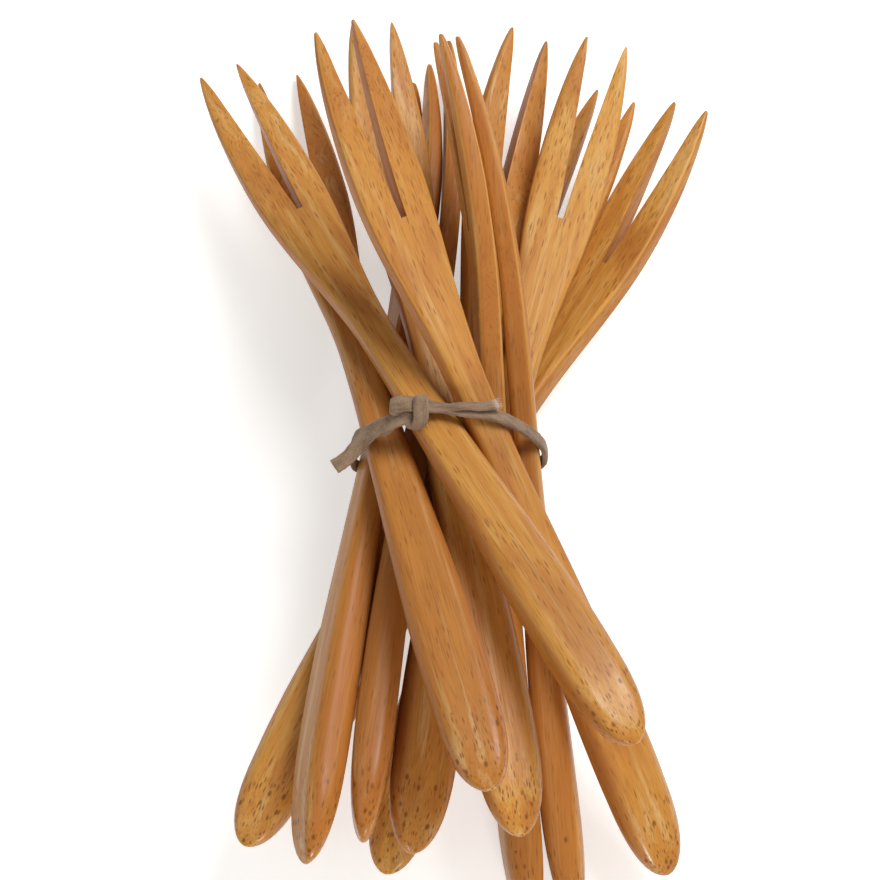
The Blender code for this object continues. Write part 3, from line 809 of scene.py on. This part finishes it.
def oiled_bamboo(colours):
    """Solid bamboo, sawn, sanded and oiled: warm streaks, dark fibre ends and a low satin sheen."""
    material, tree, shader = new_material("oiled_bamboo")
    grain = add_node(tree, "ShaderNodeAttribute", {"attribute_name": "grain"}).outputs["Vector"]
    finish = add_node(tree, "ShaderNodeAttribute", {"attribute_name": "finish"}).outputs["Vector"]
    level = dict(zip(
        ("tint", "edge", "along"), add_node(tree, "ShaderNodeSeparateXYZ", Vector=finish).outputs
    ))
    at = {}
    for name, (wide, long) in BAMBOO_MARKS.items():
        scale = (1 / (wide * MM), 1 / (long * MM), 1 / (wide * MM))
        at[name] = add_node(tree, "ShaderNodeMapping", Vector=grain, Scale=scale).outputs["Vector"]
    for name, shape in (
        ("streaks", {"Detail": 2, "Distortion": 0.3}),
        ("fibres", {"Detail": 3, "Roughness": 0.6}),
        ("clouds", {"Detail": 2}),
    ):
        level[name] = add_node(tree, "ShaderNodeTexNoise", Vector=at[name], Scale=1, **shape).outputs[0]
    for name, (follows, low, high, first, last) in BAMBOO_LEVELS.items():
        limits = {"From Min": low, "From Max": high, "To Min": first, "To Max": last}
        node = add_node(tree, "ShaderNodeMapRange", SMOOTH, Value=level[follows], **limits)
        level[name] = node.outputs[0]
    for name, (operation, one, other) in BAMBOO_MEETINGS.items():
        settings = {"operation": operation}
        node = add_node(tree, "ShaderNodeMath", settings, i0=level[one], i1=level[other])
        level[name] = node.outputs[0]
    # Dashes crowd on the head, below the slot.
    settings = {"operation": "MULTIPLY_ADD"}
    node = add_node(tree, "ShaderNodeMath", settings, i0=level["below_slot"], i1=0.5, i2=level["crowd"])
    level["lined"] = node.outputs[0]
    for name, (full, gone, kept, dark) in BAMBOO_SPECKS.items():
        cells = add_node(
            tree, "ShaderNodeTexVoronoi", {"feature": "F1"}, Vector=at[name], Scale=1, Randomness=0.9
        ).outputs
        chance = add_node(tree, "ShaderNodeSeparateColor", Color=cells["Color"]).outputs[0]
        settings = {"operation": "LESS_THAN"}
        marked = add_node(tree, "ShaderNodeMath", settings, i0=chance, i1=level[kept])
        limits = {"From Min": gone, "From Max": full, "To Min": 0, "To Max": 1}
        mark = add_node(tree, "ShaderNodeMapRange", SMOOTH, Value=cells["Distance"], **limits)
        speck = add_node(tree, "ShaderNodeMath", MULTIPLY, i0=mark.outputs[0], i1=marked.outputs[0])
        darkened = add_node(tree, "ShaderNodeMath", MULTIPLY, i0=speck.outputs[0], i1=dark)
        level[name] = darkened.outputs[0]
    colour = {name: getattr(colours, name) for name in BambooColours.__annotations__}
    colour["cut_end"] = add_node(
        tree, "ShaderNodeMix", COLOURS, i0=level["ends"], i6=colours.fleck, i7=colours.fibre
    ).outputs[2]
    board = colours.pale
    for name, amount in BAMBOO_LAYERS:
        node = add_node(tree, "ShaderNodeMix", COLOURS, i0=level[amount], i6=board, i7=colour[name])
        board = node.outputs[2]
    tree.links.new(board, shader.inputs["Base Color"])
    tree.links.new(level["roughness"], shader.inputs["Roughness"])
    shader.inputs["IOR"].default_value = 1.5
    shader.inputs["Specular IOR Level"].default_value = 0.33
    grooves = add_node(tree, "ShaderNodeMath", ADD, i0=level["fibres"], i1=level["flecks"]).outputs[0]
    relief = add_node(
        tree, "ShaderNodeBump", {"invert": True}, Height=grooves, Strength=0.2, Distance=0.04 * MM
    )
    tree.links.new(relief.outputs[0], shader.inputs["Normal"])
    return material


def suede(looks):
    """Brushed suede: a matt nap with painted shade in its creases along the lace and a pale torn end."""
    material, tree, shader = new_material("brushed_suede")
    nap = add_node(tree, "ShaderNodeAttribute", {"attribute_name": "nap"}).outputs["Vector"]
    worn = add_node(tree, "ShaderNodeSeparateXYZ", Vector=nap).outputs[2]
    # Creases are 0.5 mm apart and 6 mm long, and are darkened as painted shade in their hollows.
    # Single hairs are too fine to show, so the fuzz is drawn at 0.35 mm.
    drawn = add_node(tree, "ShaderNodeMapping", Vector=nap, Scale=(1 / (0.5 * MM), 1 / (6 * MM), 0))
    creases = add_node(
        tree, "ShaderNodeTexNoise", Vector=drawn.outputs[0], Scale=1, Detail=3, Roughness=0.6
    ).outputs[0]
    spots = add_node(tree, "ShaderNodeTexCoord").outputs["Object"]
    fuzz = add_node(
        tree, "ShaderNodeTexNoise", Vector=spots, Scale=1 / (0.35 * MM), Detail=4, Roughness=0.7
    ).outputs[0]
    dark = {"From Min": 0.42, "From Max": 0.72, "To Max": 0.9}
    light = {"From Min": 0.5, "From Max": 0.75, "To Max": 0.55}
    # The darker creases are painted shade.
    dark = add_node(tree, "ShaderNodeMapRange", Value=creases, **dark).outputs[0]
    light = add_node(tree, "ShaderNodeMapRange", Value=fuzz, **light).outputs[0]
    skin = looks.nap
    for colour, amount in ((looks.shade, dark), (looks.tips, light), (looks.frayed, worn)):
        skin = add_node(tree, "ShaderNodeMix", COLOURS, i0=amount, i6=skin, i7=colour).outputs[2]
    tree.links.new(skin, shader.inputs["Base Color"])
    shader.inputs["Roughness"].default_value = 0.95
    shader.inputs["Specular IOR Level"].default_value = 0.2
    shader.inputs["Sheen Weight"].default_value = 0.25
    relief = add_node(tree, "ShaderNodeBump", Height=fuzz, Strength=0.6, Distance=0.15 * MM)
    tree.links.new(relief.outputs[0], shader.inputs["Normal"])
    return material


class FORKS_OT_bamboo(bpy.types.Operator):
    """Lays a finished fork over each fork of the bundle"""

    bl_idname = "forks.bamboo"
    bl_label = "Bamboo forks"

    def execute(self, context):
        size = context.scene.fork_sizes
        material = oiled_bamboo(context.scene.bamboo_colours)
        pattern = surface_frame(pattern_fork(size)).inverted()
        fine = fine_fork(size)
        for seed, name in enumerate(FORKS):
            place = surface_frame(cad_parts[name].data) @ pattern
            mesh = own_mesh(size, fine, place, "bamboo_" + name, seed)
            piece = new_object("bamboo_" + name, mesh)
            mesh.materials.append(material)
            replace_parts(piece, name)
            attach(piece, "root")
        return {"FINISHED"}


class FORKS_OT_lace(bpy.types.Operator):
    """Ties the suede lace round the bundle"""

    bl_idname = "forks.lace"
    bl_label = "Suede lace"

    def execute(self, context):
        looks = context.scene.lace_looks
        run = lace_run(looks)
        mesh = lace_mesh(run, looks)
        piece = new_object("suede_lace", mesh)
        mesh.materials.append(suede(looks))
        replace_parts(piece, "tie_lace")
        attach(piece, "root")
        return {"FINISHED"}


# The square softboxes: their place, the length of a side and their power in watts.
SOFTBOXES = {
    "sky_softbox": ((0.40, 0.45, 0.80), 0.45, 7.0),
    "side_softbox": ((-0.6, -0.1, 0.6), 0.5, 0.9),
    "front_softbox": ((0.15, -0.80, 0.35), 0.22, 3.0),
}
# The floor lies this far below the table's height, and is seen a little brighter than it is lit.
FLOOR_GAP = 0.0005
FLOOR_GLOW = 0.55
# The even light from all round, and the width of the camera's sensor in millimetres.
ROOM_LIGHT = 0.26
SENSOR = 36.0


class FORKS_OT_stage(bpy.types.Operator):
    """Sets the camera, the soft light and the pale floor"""

    bl_idname = "forks.stage"
    bl_label = "Camera, light and floor"

    def execute(self, context):
        looks = context.scene.stage_looks
        add_camera(looks)
        for name, (place, width, power) in SOFTBOXES.items():
            add_light(name, place, width, power)
        add_floor(looks)
        set_background(looks)
        context.scene.view_settings.view_transform = "Standard"
        return {"FINISHED"}


def add_camera(looks):
    """The photograph's view: from above the handles, looking down on the bundle."""
    data = bpy.data.cameras.new("photo_camera")
    data.sensor_width = SENSOR
    data.lens = SENSOR * looks.distance / looks.frame_width
    camera = bpy.data.objects.new("photo_camera", data)
    bpy.context.scene.collection.objects.link(camera)
    aim = Vector((looks.aim_across, looks.aim_along, looks.aim_height))
    back = Vector((0, -cos(looks.elevation), sin(looks.elevation)))
    camera.location = aim + back * looks.distance
    camera.rotation_euler = (pi / 2 - looks.elevation, 0, 0)
    bpy.context.scene.camera = camera


def add_light(name, place, width, power):
    """A square softbox that faces the bundle."""
    data = bpy.data.lights.new(name, "AREA")
    data.size = width
    data.energy = power
    light = bpy.data.objects.new(name, data)
    bpy.context.scene.collection.objects.link(light)
    light.location = place
    light.rotation_euler = (-Vector(place)).to_track_quat("-Z", "Y").to_euler()


def add_floor(looks):
    """A wide pale floor, just under the forks."""
    bm = bmesh.new()
    bmesh.ops.create_grid(bm, x_segments=1, y_segments=1, size=2)
    bmesh.ops.translate(bm, vec=(0, 0, -FLOOR_GAP), verts=bm.verts)
    floor = new_object("floor", to_mesh(bm, "floor"))
    material, tree, shader = new_material("pale_floor")
    shader.inputs["Base Color"].default_value = looks.floor
    shader.inputs["Roughness"].default_value = 0.8
    rays = add_node(tree, "ShaderNodeLightPath").outputs
    seen = rays["Is Camera Ray"]
    for kind in ("Is Glossy Ray", "Is Transmission Ray"):
        seen = add_node(tree, "ShaderNodeMath", ADD, i0=seen, i1=rays[kind]).outputs[0]
    glow = add_node(tree, "ShaderNodeMath", MULTIPLY, i0=seen, i1=FLOOR_GLOW).outputs[0]
    shader.inputs["Emission Color"].default_value = looks.floor
    tree.links.new(glow, shader.inputs["Emission Strength"])
    floor.data.materials.append(material)


def set_background(looks):
    """Even studio light from all round."""
    world = bpy.data.worlds.new("studio")
    world.use_nodes = True
    background = world.node_tree.nodes["Background"]
    background.inputs["Color"].default_value = looks.floor
    background.inputs["Strength"].default_value = ROOM_LIGHT
    bpy.context.scene.world = world


class FORKS_PT_panel(bpy.types.Panel):
    """The sizes, colours and builders of the bundle"""

    bl_idname = "FORKS_PT_panel"
    bl_label = "Tied bamboo forks"
    bl_space_type = "VIEW_3D"
    bl_region_type = "UI"
    bl_category = "Forks"

    def draw(self, context):
        for name, group in GROUPS.items():
            box = self.layout.box()
            for key in group.__annotations__:
                box.prop(getattr(context.scene, name), key)
        for operator in (FORKS_OT_lace, FORKS_OT_bamboo, FORKS_OT_stage):
            self.layout.operator(operator.bl_idname)


GROUPS = {
    "fork_sizes": ForkSizes,
    "bamboo_colours": BambooColours,
    "lace_looks": LaceLooks,
    "stage_looks": StageLooks,
}
CLASSES = (*GROUPS.values(), FORKS_OT_lace, FORKS_OT_bamboo, FORKS_OT_stage, FORKS_PT_panel)


def register():
    """Adds the bundle's settings, builders and panel."""
    for cls in CLASSES:
        bpy.utils.register_class(cls)
    for name, group in GROUPS.items():
        setattr(bpy.types.Scene, name, PointerProperty(type=group))


def unregister():
    """Takes them away again."""
    for name in GROUPS:
        delattr(bpy.types.Scene, name)
    for cls in reversed(CLASSES):
        bpy.utils.unregister_class(cls)


def main():
    """Dresses the bundle."""
    register()
    bpy.ops.forks.lace()
    bpy.ops.forks.bamboo()
    bpy.ops.forks.stage()
    bpy.context.view_layer.update()


if __name__ == "__main__":
    main()
